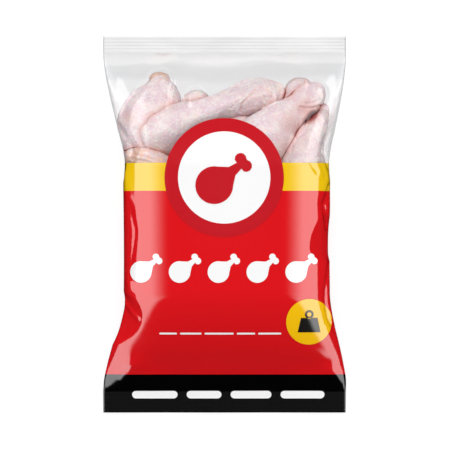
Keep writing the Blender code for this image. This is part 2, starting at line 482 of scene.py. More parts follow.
def add_node(nodes, kind, **values):
    return set_inputs(nodes.new("ShaderNode" + kind), **values)


def add_ramp(nodes, stops):
    """A colour ramp with these stops, each a position and a colour."""
    node = nodes.new("ShaderNodeValToRGB")
    elements = node.color_ramp.elements
    elements.remove(elements[1])
    elements[0].position, elements[0].color = stops[0]
    for position, colour in stops[1:]:
        elements.new(position).color = colour
    return node


def plain_material(name, colour, roughness, **others):
    material, nodes, _ = node_material(name)
    set_inputs(nodes["Principled BSDF"], Base_Color=(*colour, 1.0), Roughness=roughness, **others)
    return material


def add_bump(material, scale, distance, stretch=(1.0, 1.0, 1.0)):
    """Fine unevenness of a film, by noise that stretch draws out."""
    nodes, links = material.node_tree.nodes, material.node_tree.links
    place = add_node(nodes, "TexCoord")
    drawn = add_node(nodes, "Mapping", Scale=stretch)
    uneven = add_node(nodes, "TexNoise", Scale=scale, Detail=3.0)
    bump = add_node(nodes, "Bump", Distance=distance)
    links.new(place.outputs["Object"], drawn.inputs["Vector"])
    links.new(drawn.outputs[0], uneven.inputs["Vector"])
    links.new(uneven.outputs["Fac"], bump.inputs["Height"])
    for key in ("Normal", "Coat Normal"):
        links.new(bump.outputs["Normal"], nodes["Principled BSDF"].inputs[key])
    return uneven


def printed(name, colour):
    """Glossy film in one plain colour."""
    gloss = {"IOR": 1.55, "Coat_Weight": 1.0, "Coat_IOR": 1.7, "Coat_Roughness": 0.05}
    material = plain_material(name, colour, 0.12, **gloss)
    add_bump(material, 55.0, 0.00006)
    return material


SEAL_TINTS = ((0.30, (0.70, 0.70, 0.705, 1)), (0.70, (0.77, 0.77, 0.77, 1)))


def sealed_film(name):
    """Two layers of clear film pressed together: milky, with faint cloudy patches along the seal."""
    material = plain_material(name, (0.77, 0.77, 0.77), 0.3)
    nodes, links = material.node_tree.nodes, material.node_tree.links
    cloudy = add_bump(material, 60.0, 0.00012, (0.35, 1.0, 1.0))
    tint = add_ramp(nodes, SEAL_TINTS)
    links.new(cloudy.outputs["Fac"], tint.inputs[0])
    links.new(tint.outputs[0], nodes["Principled BSDF"].inputs["Base Color"])
    return material


# Tints of the clear film by the Y of its surface: lighter just under the seal as a painted veil of
# light, then a darker band of painted shade, on borders that noise makes uneven by up to the wave below
FILM_TINTS_WITH_PAINTED_BANDS = (
    (0.2080, (0.985, 0.987, 0.990, 1)),
    (0.2200, (0.940, 0.943, 0.947, 1)),
    (0.2335, (0.944, 0.947, 0.951, 1)),
    (0.2375, (1.000, 1.000, 1.000, 1)),
)
BAND_WOBBLE = 0.050


def clear_film(name):
    """Film that tints what lies under it, with painted light and shade in bands by height, and mirrors more
    the flatter it is seen.
    """
    material, nodes, links = node_material(name)
    nodes.remove(nodes["Principled BSDF"])
    place = add_node(nodes, "TexCoord").outputs["Object"]
    band_wobble = add_node(nodes, "TexNoise", Scale=9.0, Detail=2.0)
    apart = add_node(nodes, "SeparateXYZ")
    wavy = add_node(nodes, "Math")
    wavy.operation = "MULTIPLY_ADD"
    wavy.inputs[1].default_value = BAND_WOBBLE
    # The tint paints a light veil under the seal and a band of shade below it
    tint = add_ramp(nodes, FILM_TINTS_WITH_PAINTED_BANDS)
    tint.color_ramp.interpolation = "EASE"
    see_through = add_node(nodes, "BsdfTransparent")
    gloss = add_node(nodes, "BsdfPrincipled", Base_Color=(0.9, 0.9, 0.92, 1), Roughness=0.12, Metallic=1.0)
    facing = add_node(nodes, "Fresnel", IOR=1.75)
    capped = add_node(nodes, "MapRange", From_Min=0.07, From_Max=0.55, To_Min=0.08, To_Max=0.34)
    blend = add_node(nodes, "MixShader")
    for start, end in (
        (place, band_wobble.inputs["Vector"]),
        (place, apart.inputs[0]),
        (band_wobble.outputs["Fac"], wavy.inputs[0]),
        (apart.outputs["Y"], wavy.inputs[2]),
        (wavy.outputs[0], tint.inputs[0]),
        (tint.outputs[0], see_through.inputs["Color"]),
        (facing.outputs["Fac"], capped.inputs["Value"]),
        (capped.outputs["Result"], blend.inputs[0]),
        (see_through.outputs[0], blend.inputs[1]),
        (gloss.outputs[0], blend.inputs[2]),
        (blend.outputs[0], nodes["Material Output"].inputs["Surface"]),
    ):
        links.new(start, end)
    return material


# The drumsticks that show: how deep each one's top lies under the film at the joint and at the thick
# end, then its line from its joint to its thick end as (x, y, half width) in millimetres
SHOWN = {
    "drumstick_middle": (
        (0.0, 0.0),
        (79.5, 168.0, 0), (72.0, 169.5, 13), (59.0, 171.0, 21), (43.7, 171.2, 23), (26.5, 166.5, 23),
        (12.0, 161.5, 20.5), (-6.8, 153.7, 17.8), (-28.7, 144.9, 20.5), (-52.8, 135.9, 26),
        (-76.9, 123.0, 31), (-94.5, 116.8, 28), (-105.5, 114.7, 14), (-108.7, 113.6, 0),
    ),
    "drumstick_right": (
        (0.0, 0.002),
        (131.0, 174.5, 0), (126.0, 173.5, 12), (117.0, 170.5, 17.5), (108.0, 164.5, 19),
        (99.0, 155.9, 18), (87.7, 146.8, 21.3), (74.3, 136.4, 27.2), (61.3, 122.6, 32.3),
        (46.6, 108.3, 35), (32.7, 93.8, 31), (19.5, 84.0, 20), (10.8, 77.4, 0),
    ),
    "drumstick_right_low": (
        (0.014, 0.0),
        (130.5, 160.0, 0), (130.0, 156.0, 6), (129.0, 146.0, 8.5), (123.5, 133.0, 13.0),
        (113.0, 116.8, 18.5), (105.5, 101.5, 22), (100.7, 83.9, 26), (95.2, 64.2, 28), (89.7, 46.7, 25),
        (85.3, 29.1, 15), (83.1, 19.3, 0),
    ),
    "drumstick_left": (
        (0.003, 0.01),
        (-89.0, 201.0, 0), (-88.5, 197.5, 7), (-86.5, 189.6, 14), (-86.0, 178.6, 23.5),
        (-88.6, 166.5, 31), (-95.5, 152.1, 37), (-102.0, 136.6, 40.5), (-105.5, 116.8, 38),
        (-107.6, 99.3, 28), (-108.7, 84.0, 14), (-109.2, 75.2, 0),
    ),
    "drumstick_left_low": (
        (0.005, 0.008),
        (-138.0, 86.0, 0), (-131.0, 88.0, 7), (-119.0, 88.5, 11), (-106.0, 86.5, 14), (-92.0, 81.0, 16),
        (-76.9, 71.9, 18), (-57.2, 62.0, 23), (-35.3, 52.2, 27), (-13.4, 45.6, 20), (4.2, 41.2, 0),
    ),
    "drumstick_behind_middle": (
        (0.008, 0.03),
        (-35.0, 172.5, 0), (-35.0, 169.5, 14), (-36.0, 162.3, 19), (-38.0, 153.3, 20),
        (-40.8, 137.8, 21), (-44.0, 116.8, 24), (-48.4, 90.5, 27), (-51.7, 64.2, 20), (-52.8, 51.0, 0),
    ),
    "drumstick_behind_right": (
        (0.006, 0.034),
        (99.0, 194.0, 0), (99.0, 188.6, 11), (98.4, 180.8, 17), (95.7, 171.9, 18), (90.7, 158.5, 17),
        (86.0, 134.9, 20), (78.0, 105.0, 26), (72.0, 75.0, 22), (69.0, 60.0, 0),
    ),
}

# The drumsticks under and beside them: joint tip, thick end's tip, depths and size
HIDDEN = {
    "drumstick_lower_left": ((-0.020, 0.165), (-0.128, 0.050), (0.040, 0.060), 1.0),
    "drumstick_lower_right": ((0.015, 0.160), (0.122, 0.050), (0.040, 0.060), 1.0),
    "drumstick_lower_middle": ((0.010, 0.015), (0.012, 0.150), (0.050, 0.050), 0.95),
    "drumstick_inner_left": ((-0.005, 0.080), (-0.100, 0.150), (0.050, 0.040), 0.9),
    "drumstick_inner_right": ((0.045, 0.160), (0.110, 0.060), (0.030, 0.050), 0.9),
    "drumstick_under_right": ((0.120, 0.163), (0.070, 0.050), (0.026, 0.040), 0.8),
    "drumstick_under_print": ((-0.100, 0.060), (0.030, 0.075), (0.020, 0.012), 0.95),
}
JOINT_RADIUS, ANKLE_RADIUS, THICK_RADIUS = 0.0180, 0.0150, 0.0310
# A plain drumstick's form: shares of its length, and levels from 0 at a tip through 1 for the joint's
# radius and 2 for the ankle's to 3 for the thick part's; past THICK_CAP they count thirds of the last
THICK_CAP = 0.9
PLAIN_PROFILE = (
    (0.00, 0.00), (0.03, 0.70), (0.08, 1.00), (0.16, 1.00), (0.26, 1.50), (0.40, 1.55), (0.58, 2.20),
    (0.76, 3.00), (0.90, 2.75), (0.975, 1.30), (1.00, 0.00),
)
SHOWN_GRID = (230, 168)
HIDDEN_GRID = (110, 84)
CURVE_POINTS = 1201
RINGS_AT_ENDS = 0.75
TIP_REACH, TIP_LEAST = 0.012, 0.0002
# Shares of the rings: the joint end, and how far the film's height and the centre line are smoothed
JOINT_END, TOP_SMOOTHING, LINE_SMOOTHING = 5, 8, 14
FLATTENED = 0.86
LOBE = 0.03
LOWEST_SHARE, LOWEST_GAP = 0.85, 0.002
FILM_GAP = 0.0008
OVER_BAG = 0.3
MM = 0.001


def plain_stations(joint, thick, size):
    """Stations of a drumstick that barely shows: knob, ankle, then the thick part."""
    joint, thick = np.array(joint), np.array(thick)
    radii = (0, JOINT_RADIUS, ANKLE_RADIUS, THICK_RADIUS)
    stations = []
    for share, level in PLAIN_PROFILE:
        radius = float(np.interp(level, range(4), radii)) if share < THICK_CAP else level / 3 * THICK_RADIUS
        place = joint + (thick - joint) * share
        stations.append((place[0], place[1], radius * size))
    return np.array(stations)


def spaced(stations, rings):
    """Centre line and half width at each ring, on a smooth curve, and its share of the way."""
    stations = np.array(stations)
    walked = walked_to(stations[:, :2])
    fine = np.linspace(0, walked[-1], CURVE_POINTS)
    values = np.stack([catmull(walked, stations[:, k], fine) for k in range(3)], axis=1)
    values[:, 2] = np.maximum(values[:, 2], 0.0)
    # The rings lie closer together towards both tips
    turn = np.arange(rings) / (rings - 1)
    share = mix(turn, 0.5 - 0.5 * np.cos(np.pi * turn), RINGS_AT_ENDS)
    wanted = share * walked[-1]
    return np.stack([np.interp(wanted, fine, values[:, k]) for k in range(3)], axis=1), share


def catmull(at, values, wanted):
    """A smooth curve through values at uneven places."""
    slopes = np.gradient(values, at)
    k = np.clip(np.searchsorted(at, wanted) - 1, 0, len(at) - 2)
    span = at[k + 1] - at[k]
    t = (wanted - at[k]) / span
    a = 2 * t**3 - 3 * t**2 + 1
    b = t**3 - 2 * t**2 + t
    c = -2 * t**3 + 3 * t**2
    d = t**3 - t**2
    return a * values[k] + b * span * slopes[k] + c * values[k + 1] + d * span * slopes[k + 1]


def smoothed(values, width):
    kernel = np.hanning(2 * width + 3)
    return np.convolve(np.pad(values, width + 1, mode="edge"), kernel / kernel.sum(), mode="valid")


def film_top(tree, x, y):
    hit = tree.ray_cast(Vector((x, y, OVER_BAG)), Vector((0, 0, -1)))[0]
    return hit.z if hit else SEAL_HEIGHT


def drumstick_points(tree, stations, depths, rings, spokes, seed):
    """The skin of one drumstick: rings of points from its joint tip to the tip of its thick end."""
    line, share = spaced(stations, rings)
    # Half widths follow a round end at both tips
    walked = share * np.linalg.norm(np.diff(line[:, :2], axis=0), axis=1).sum()
    for gap, rising in ((walked, 1), (walked[-1] - walked, -1)):
        near = gap < TIP_REACH
        full = np.interp(TIP_REACH, gap[::rising], line[::rising, 2])
        round_width = full * np.sqrt(np.clip(1 - (1 - gap / TIP_REACH) ** 2, 0, 1))
        line[near, 2] = np.maximum(round_width[near], TIP_LEAST)
    radius = line[:, 2]
    joint_end, thick_end = rings // JOINT_END, int(np.argmax(radius))
    body_radius = radius.copy()
    body_radius[:joint_end] = radius[:joint_end].max()
    body_radius[thick_end:] = radius[thick_end]
    tops = np.array([film_top(tree, x, y) for x, y in line[:, :2]])
    tops = smoothed(tops, rings // TOP_SMOOTHING)
    depth = mix(depths[0], depths[1], smooth(share))
    low = body_radius * FLATTENED * LOWEST_SHARE + LOWEST_GAP
    height = np.maximum(tops - depth - body_radius * FLATTENED - FILM_GAP, low)
    core = np.column_stack([line[:, :2], smoothed(height, rings // LINE_SMOOTHING)])
    tangent = unit(np.gradient(core, axis=0))
    side = unit(np.cross(tangent, [0, 0, 1.0]))
    up = np.cross(side, tangent)
    angle = np.arange(spokes) / spokes * math.tau
    lobes = 1 + LOBE * np.cos(angle + seed) + LOBE * np.cos(3 * angle + 2.3 * seed)
    out = side[:, None] * np.cos(angle)[None, :, None]
    out = out + up[:, None] * (FLATTENED * np.sin(angle))[None, :, None]
    points = core[:, None] + out * (radius[:, None] * lobes[None, :])[..., None]
    return points, unit(out), share, radius


# Creases in the skin as seen from above: lines in millimetres, width, depth and how red and dark
# they are, partly the skin's own redness and partly painted shade
CREASES = {
    "drumstick_middle": (
        (((40.5, 183.0), (36.5, 176.5), (33.0, 169.5), (23.5, 158.5), (21.5, 148.5)), 1.5, 1.9, 0.50),
        (((46.0, 188.0), (56.5, 181.0), (62.5, 170.0), (62.5, 160.0), (56.0, 152.0)), 1.6, 1.3, 0.40),
        (((24.0, 165.0), (15.5, 160.5), (9.0, 152.0)), 1.2, 0.8, 0.25),
        (((8.0, 168.0), (4.0, 158.0), (3.5, 147.0)), 1.2, 0.5, 0.15),
    ),
    "drumstick_right": (
        (((97.5, 155.0), (107.0, 153.0), (116.0, 153.0), (126.0, 156.5)), 1.3, 1.6, 0.80),
        (((103.0, 160.5), (112.0, 158.5), (121.0, 162.0)), 1.2, 0.9, 0.35),
        (((93.0, 158.0), (97.0, 149.0), (103.0, 143.0)), 1.2, 0.7, 0.30),
    ),
    "drumstick_left": (
        (((-83.0, 193.0), (-95.0, 181.0), (-107.0, 163.0), (-118.0, 147.0)), 1.8, 0.9, 0.25),
        (((-78.0, 172.0), (-70.5, 160.0), (-68.0, 150.0)), 1.5, 0.9, 0.45),
    ),
    "drumstick_left_low": (
        (((-118.0, 92.0), (-103.0, 90.0), (-90.0, 84.0)), 1.6, 1.3, 0.55),
        (((-112.0, 84.0), (-100.0, 82.0), (-92.0, 77.0)), 1.4, 1.0, 0.40),
    ),
}
# Where fine wrinkles ring the skin, as seen from above: x, y, how far they reach, and their depth
WRINKLED = {
    "drumstick_right": ((0.0850, 0.1290, 0.020, 0.00060), (0.1150, 0.1600, 0.012, 0.00030)),
    "drumstick_middle": ((0.0300, 0.1600, 0.016, 0.00025), (0.0560, 0.1620, 0.012, 0.00020)),
    "drumstick_right_low": ((0.1080, 0.1100, 0.016, 0.00022),),
    "drumstick_left": ((-0.0800, 0.1650, 0.016, 0.00025),),
}
# Wrinkle valleys are painted redder and darker: partly the skin's redness, partly painted shade
WRINKLE_SPACING, WRINKLE_RED_AND_SHADE = 0.0031, 0.35
WRINKLE_WARP, WRINKLE_BEND = 0.9, 0.5
# Lumps of the meat: their size, then their height at the joint end and at the thick part
MEAT_LUMPS = ((0.036, 0.0010, 0.0024), (0.014, 0.0009, 0.0006))
MEAT_START, MEAT_RUN = 0.35, 0.3
# Ridges of the skin round the joint
RIDGE_PLACE, RIDGE_SPREAD = 0.17, 0.10
RIDGE_SIZE, RIDGE_SLOPE, RIDGE_START, RIDGE_HEIGHT = 0.010, 2.2, 0.4, 0.0030
GRAIN_SIZE, GRAIN_HEIGHT = 0.0032, 0.00022
WARP_SIZE, WARP_SHARE = 0.022, 0.35
# A crease's raised lips, as shares of its depth and width, and how wide its redness and painted
# shade are
LIP_HEIGHT, LIP_PLACE, LIP_WIDTH = 0.45, 2.3, 1.3
RED_AND_SHADE_WIDTH = 1.2
MOST_PUSH = 0.22
# How orange each joint end is, and how far along the drumstick that reaches, in blotches
BLOTCH_SIZE, BLOTCH_MIDDLE, BLOTCH_CONTRAST, BLOTCH_WARP = 0.006, 0.55, 1.6, 0.8
PLAIN_PEACH = (0.30, 0.20)
PEACH = {
    "drumstick_middle": (0.40, 0.30),
    "drumstick_right": (0.25, 0.25),
    "drumstick_left": (1.20, 0.20),
    "drumstick_left_low": (1.30, 0.90),
    "drumstick_behind_right": (0.60, 0.15),
}


def wrinkled(name, points, directions, share, radius, seed):
    """The skin with the lumps of the meat and its folds, how creased it is, for redness and painted shade
    in the creases, and how orange it is.
    """
    rings, spokes, _ = points.shape
    flat = points.reshape(-1, 3)
    x, y = flat[:, 0], flat[:, 1]
    upper = smooth(directions.reshape(-1, 3)[:, 2] * 4)
    along = np.repeat(share, spokes)
    thickness = np.repeat(radius, spokes)
    warp = lumps(flat, WARP_SIZE, seed + 2)
    angle = np.tile(np.arange(spokes) / spokes * math.tau, rings)
    meat = smooth((along - MEAT_START) / MEAT_RUN)
    push = np.zeros_like(along)
    for k, (size, joint_height, thick_height) in enumerate(MEAT_LUMPS):
        push += lumps(flat, size, seed + k) * mix(joint_height, thick_height, meat)
    ridges = 1 - np.abs(lumps(flat, RIDGE_SIZE, seed + 3)) * RIDGE_SLOPE
    joint_part = bell((along - RIDGE_PLACE) / RIDGE_SPREAD)
    push += np.maximum(ridges - RIDGE_START, 0) ** 2 * RIDGE_HEIGHT * joint_part
    push += lumps(flat, GRAIN_SIZE, seed + 4) * GRAIN_HEIGHT
    crease = np.zeros_like(along)
    walked = np.repeat(walked_to(points.mean(axis=1)), spokes)
    bend = WRINKLE_BEND * np.sin(angle * 2 + seed)
    turned = np.sin(math.tau * (walked / WRINKLE_SPACING + WRINKLE_WARP * warp + bend))
    for centre_x, centre_y, reach, depth in WRINKLED.get(name, ()):
        there = bell(np.hypot(x - centre_x, y - centre_y) / reach) * upper
        push += there * turned * depth
        # Redder, darker valleys: partly redness, partly painted shade
        crease = np.maximum(crease, there * smooth(-turned) * WRINKLE_RED_AND_SHADE)
    for line, width, depth, red_and_shade in CREASES.get(name, ()):
        away = line_distance(x, y, np.array(line) * MM) / (width * MM)
        away = away * (1 + WARP_SHARE * warp)
        push -= upper * depth * MM * (bell(away) - LIP_HEIGHT * bell((away - LIP_PLACE) / LIP_WIDTH))
        crease = np.maximum(crease, upper * red_and_shade * bell(away / RED_AND_SHADE_WIDTH))
    push = np.clip(push, -MOST_PUSH * thickness, MOST_PUSH * thickness)
    most, reach = PEACH.get(name, PLAIN_PEACH)
    blotches = BLOTCH_MIDDLE + BLOTCH_CONTRAST * lumps(flat, BLOTCH_SIZE, seed + 7) + BLOTCH_WARP * warp
    peach = most * smooth((reach - along) / reach) * np.clip(blotches, 0, 1)
    return points + directions * push.reshape(rings, spokes)[..., None], crease, peach


def kept_inside(tree, points):
    """The skin moved in until it is clear of the film, with the moves shared between neighbours."""
    kept = points
    for last in (False, False, True):
        moves = np.zeros_like(kept)
        for i, ring in enumerate(kept):
            for j, p in enumerate(ring):
                near, normal, _, _ = tree.find_nearest(Vector(p))
                beyond = (Vector(p) - near).dot(normal) + FILM_GAP
                if beyond > 0:
                    moves[i, j] = np.array(normal) * -beyond
        if not last:
            for _ in range(2):
                around = (np.roll(moves, 1, axis=1) + np.roll(moves, -1, axis=1)) / 2
                ahead = np.concatenate([moves[:1], (moves[2:] + moves[:-2]) / 2, moves[-1:]])
                moves = (moves + around + ahead) / 3
        kept = kept + moves
    return kept


def drumstick_faces(rings, spokes):
    """The faces of the skin, closed by a fan of triangles at each tip."""
    first, last = rings * spokes, rings * spokes + 1
    faces = [tuple(f) for f in tube_faces(rings, spokes)[:, [0, 3, 2, 1]]]
    for j in range(spokes):
        k = (j + 1) % spokes
        faces.append((first, k, j))
        faces.append((last, (rings - 1) * spokes + j, (rings - 1) * spokes + k))
    return faces


def add_drumstick(name, film_tree, stations, depths, grid, seed, material):
    points, directions, share, radius = drumstick_points(film_tree, stations, depths, *grid, seed)
    points, crease, peach = wrinkled(name, points, directions, share, radius, seed)
    points = kept_inside(film_tree, points)
    flat = np.concatenate([points.reshape(-1, 3), [points[0].mean(axis=0)], [points[-1].mean(axis=0)]])
    piece = mesh_piece(name, flat, drumstick_faces(*grid), material)
    for key, values in (("crease", crease), ("peach", peach)):
        store(piece, key, np.concatenate([values, [values[0], values[-1]]]))
    return piece


def add_drumsticks(film_tree, material):
    wanted = [(name, np.array(line) * MM, depths, SHOWN_GRID) for name, (depths, *line) in SHOWN.items()]
    for name, (joint, thick, depths, size) in HIDDEN.items():
        wanted.append((name, plain_stations(joint, thick, size), depths, HIDDEN_GRID))
    pieces = []
    for seed, (name, stations, depths, grid) in enumerate(wanted, start=1):
        pieces.append(add_drumstick(name, film_tree, stations, depths, grid, seed, material))
    return pieces


# How far redness and painted shade spread from where two drumsticks touch, how dark it gets there,
# and the places where they spread further and get darker: x, y, size of the place, and how much more
CREVICE_REACH = 0.0042
CREVICE_SEARCH = 0.022
CREVICE_MOST = 0.83
REDDER_AND_SHADED_PLACES = (
    (0.1150, 0.1430, 0.0070, 20.0),
    (0.1060, 0.1370, 0.0050, 7.0),
    (0.0970, 0.1220, 0.0120, 0.5),
    (0.0880, 0.1000, 0.0120, 0.5),
    (0.0840, 0.1690, 0.0090, 0.8),
    (-0.1280, 0.0950, 0.0120, 0.6),
)
# Where the skin is flushed pink, as seen from above: x, y, size of the place, and how much
FLUSHED = (
    (0.1080, 0.1500, 0.018, 0.95),
    (0.0900, 0.1300, 0.020, 0.75),
    (0.0780, 0.1050, 0.020, 0.60),
    (0.1060, 0.1050, 0.022, 0.35),
    (0.0400, 0.1620, 0.018, 0.30),
    (-0.0700, 0.1560, 0.014, 0.40),
    (-0.1250, 0.1400, 0.012, 0.60),
    (-0.0750, 0.0780, 0.026, 0.80),
)


def mark_crevices(pieces):
    """Stores how near each point of the skin is to another drumstick, 1 where they touch, for redness and
    painted shade there, and its flush.
    """
    trees = []
    for piece in pieces:
        points = [v.co for v in piece.data.vertices]
        trees.append(surface_tree(points, [p.vertices for p in piece.data.polygons]))
    for piece, own in zip(pieces, trees):
        places = np.array([v.co for v in piece.data.vertices])
        reach = np.full(len(places), CREVICE_REACH)
        most = np.full(len(places), CREVICE_MOST)
        for x, y, size, more in REDDER_AND_SHADED_PLACES:
            near = bell(np.hypot(places[:, 0] - x, places[:, 1] - y) / size)
            reach += CREVICE_REACH * more * near
            most += (1 - CREVICE_MOST) * np.minimum(near * more * 2, 1)
        nearest = np.full(len(places), CREVICE_SEARCH)
        for tree in trees:
            if tree is own:
                continue
            for i, place in enumerate(places):
                found = tree.find_nearest(place, min(nearest[i], reach[i] * 4))
                if found[0] is not None:
                    nearest[i] = found[3]
        store(piece, "crevice", np.exp(-nearest / reach) * np.minimum(most, 1))
        flush = np.zeros(len(places))
        for x, y, size, amount in FLUSHED:
            near = bell(np.hypot(places[:, 0] - x, places[:, 1] - y) / size)
            flush = np.maximum(flush, amount * near)
        store(piece, "flush", flush)


def skin_material():
    """Pale skin: lilac and cream patches, pimples, and the marks that each drumstick's mesh keeps, with
    redness and painted shade in creases and where drumsticks touch.
    """
    material, nodes, links = node_material("chicken_skin")
    shader = nodes["Principled BSDF"]

    def ranged(value, low, high, to_low, to_high):
        node = add_node(nodes, "MapRange", From_Min=low, From_Max=high, To_Min=to_low, To_Max=to_high)
        node.interpolation_type = "SMOOTHSTEP"
        links.new(value, node.inputs["Value"])
        return node.outputs["Result"]

    place = add_node(nodes, "TexCoord").outputs["Object"]
    patches = add_node(nodes, "TexNoise", Scale=75.0, Detail=4.0, Roughness=0.6)
    grain = add_node(nodes, "TexNoise", Scale=330.0, Detail=3.0, Roughness=0.6)
    pimples = add_node(nodes, "TexVoronoi", Scale=210.0)
    for node in (patches, grain, pimples):
        links.new(place, node.inputs["Vector"])
    pimple = pimples.outputs["Distance"]
    marks = {}
    for key in ("peach", "crease", "crevice", "flush"):
        node = add_node(nodes, "Attribute")
        node.attribute_name = key
        marks[key] = node.outputs["Fac"]

    lilac, cream, pale = (0.82, 0.65, 0.71, 1), (0.93, 0.81, 0.79, 1), (0.96, 0.89, 0.87, 1)
    bright, rosy, pink = (1.0, 0.96, 0.95, 1), (0.80, 0.60, 0.62, 1), (0.74, 0.45, 0.43, 1)
    # The blush and the two dark reds below colour creases and places where drumsticks touch: partly the
    # skin's own redness, partly painted shade; the darkest is painted shade in the gaps
    peach, blush_and_shade = (0.90, 0.60, 0.46, 1), (0.80, 0.43, 0.37, 1)
    raw_red_and_shade, painted_crevice_shade = (0.44, 0.09, 0.07, 1), (0.28, 0.020, 0.018, 1)
    colour = None
    # Each colour over lilac: what brings it in, from where to where, its share at both, and the colour
    for source, low, high, low_share, high_share, tone in (
        (patches.outputs["Fac"], 0.38, 0.64, 0.0, 1.0, cream),
        (grain.outputs["Fac"], 0.42, 0.66, 0.0, 0.55, pale),
        (pimple, 0.05, 0.42, 0.85, 0.0, bright),
        (pimple, 0.55, 0.85, 0.0, 0.45, rosy),
        (marks["flush"], 0.0, 1.0, 0.0, 0.8, pink),
        (marks["peach"], 0.0, 1.0, 0.0, 0.9, peach),
        # Creases and touching places: redder and darker, partly real redness and partly painted shade
        (marks["crease"], 0.0, 1.0, 0.0, 0.9, blush_and_shade),
        (marks["crease"], 0.5, 1.0, 0.0, 0.6, raw_red_and_shade),
        (marks["crevice"], 0.14, 0.64, 0.0, 0.48, blush_and_shade),
        (marks["crevice"], 0.66, 0.90, 0.0, 0.80, raw_red_and_shade),
        (marks["crevice"], 0.86, 0.99, 0.0, 0.95, painted_crevice_shade),
    ):
        layer = add_node(nodes, "Mix")
        layer.data_type = "RGBA"
        layer.inputs[6].default_value, layer.inputs[7].default_value = lilac, tone
        links.new(ranged(source, low, high, low_share, high_share), layer.inputs[0])
        if colour:
            links.new(colour, layer.inputs[6])
        colour = layer.outputs[2]
    links.new(colour, shader.inputs["Base Color"])
    bump = add_node(nodes, "Bump", Strength=0.85, Distance=0.0009)
    links.new(ranged(pimple, 0.0, 0.5, 1.0, 0.0), bump.inputs["Height"])
    links.new(bump.outputs["Normal"], shader.inputs["Normal"])
    set_inputs(shader, Roughness=0.42, Coat_Weight=0.3, Coat_Roughness=0.25)
    set_inputs(shader, Subsurface_Weight=0.35, Subsurface_Radius=(1.0, 0.45, 0.30), Subsurface_Scale=0.004)
    return material


body = relaxed_body()
columns = body.shape[1]
film_tree = surface_tree(body.reshape(-1, 3), tube_faces(len(body), columns))
drumsticks = add_drumsticks(film_tree, skin_material())
mark_crevices(drumsticks)
for piece in drumsticks:
    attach(piece, "root")
window_rows, yellow_rows, red_rows, black_rows = (count * 2 ** (LEVELS - 1) for count in FIELD_ROWS)


def field_indices():
    """The material of each face of the printed film: yellow, red, black, then the foot seal."""
    counts = (yellow_rows, red_rows, black_rows, SEAL_ROWS)
    return np.repeat(np.repeat(np.arange(4), counts), columns)


def add_tube(name, grid, *materials, indices=None):
    faces = tube_faces(len(grid), columns)
    return mesh_piece(name, grid.reshape(-1, 3), faces, *materials, indices=indices)


def seal_rings(y_values):
    return np.stack([film_ring(y, columns // 2) for y in y_values])


bottom_seal_rows = np.linspace(BOTTOM_JOIN, BOTTOM_EDGE, SEAL_ROWS + 1)
top_seal = seal_rings(np.linspace(TOP_EDGE, TOP_JOIN, SEAL_ROWS + 1))
film = np.concatenate([body, seal_rings(bottom_seal_rows)[1:]])
fields = (
    printed("yellow_print", (0.88, 0.555, 0.003)),
    printed("red_print", (0.72, 0.006, 0.010)),
    printed("black_print", (0.0012, 0.0012, 0.0012)),
    printed("black_seal_print", (0.0075, 0.0075, 0.0078)),
)
film_print = add_tube("film_print", film[window_rows:], *fields, indices=field_indices())
film_window = add_tube("film_window", film[: window_rows + 1], clear_film("clear_film"))
film_seal = add_tube("film_seal", top_seal, sealed_film("sealed_film"))

for piece in (film_print, film_window, film_seal):
    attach(piece, "root")
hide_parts("bag")

# What is printed on the film: plain shapes that lie on it, placed as they are seen from the front
PRINT_LIFT = 0.0004
PRINT_STEP = 0.0018
FINE_STEP = 0.0010
EDGE_GAP = 0.45
WELD = 1e-7
BEYOND_SIDE, SIDE_STRETCH = 0.004, 1.5
DOT_CENTRE, DOT_RADIUS = (0.1104, -0.1270), 0.0300

film_rows = np.concatenate([body_rows(LEVELS - 1), bottom_seal_rows[1:]])


def on_film(x, y, lift):
    """The point of the film's front seen at x and y, and past its side for an x beyond that."""
    row = np.interp(-y, -film_rows, np.arange(len(film_rows)))
    i = min(int(row), len(film_rows) - 2)
    line = mix(film[i], film[i + 1], row - i)
    across = line[: columns // 2 + 1, 0]
    widest = int(np.argmax(across))
    edge = across[widest] - BEYOND_SIDE
    rising = np.maximum.accumulate(across[: widest + 1])
    place = float(np.interp(min(x, edge), rising, np.arange(widest + 1)))
    if x > edge:
        place += (x - edge) * SIDE_STRETCH / (GIRTH / columns)
    j = int(place)
    part = place - j
    here = mix(line[j], line[j + 1], part)
    down = film[i + 1, j] - film[i, j]
    along = line[j + 1] - line[j]
    return here + unit(np.cross(down, along)) * lift


def circle(centre, radius, count):
    turn = np.arange(count) / count * math.tau
    return [(centre[0] + radius * math.cos(t), centre[1] + radius * math.sin(t)) for t in turn]


def inside(point, loop):
    x, y = point
    odd = False
    for (ax, ay), (bx, by) in zip(loop, loop[1:] + loop[:1]):
        if (ay > y) != (by > y) and x < ax + (bx - ax) * (y - ay) / (by - ay):
            odd = not odd
    return odd


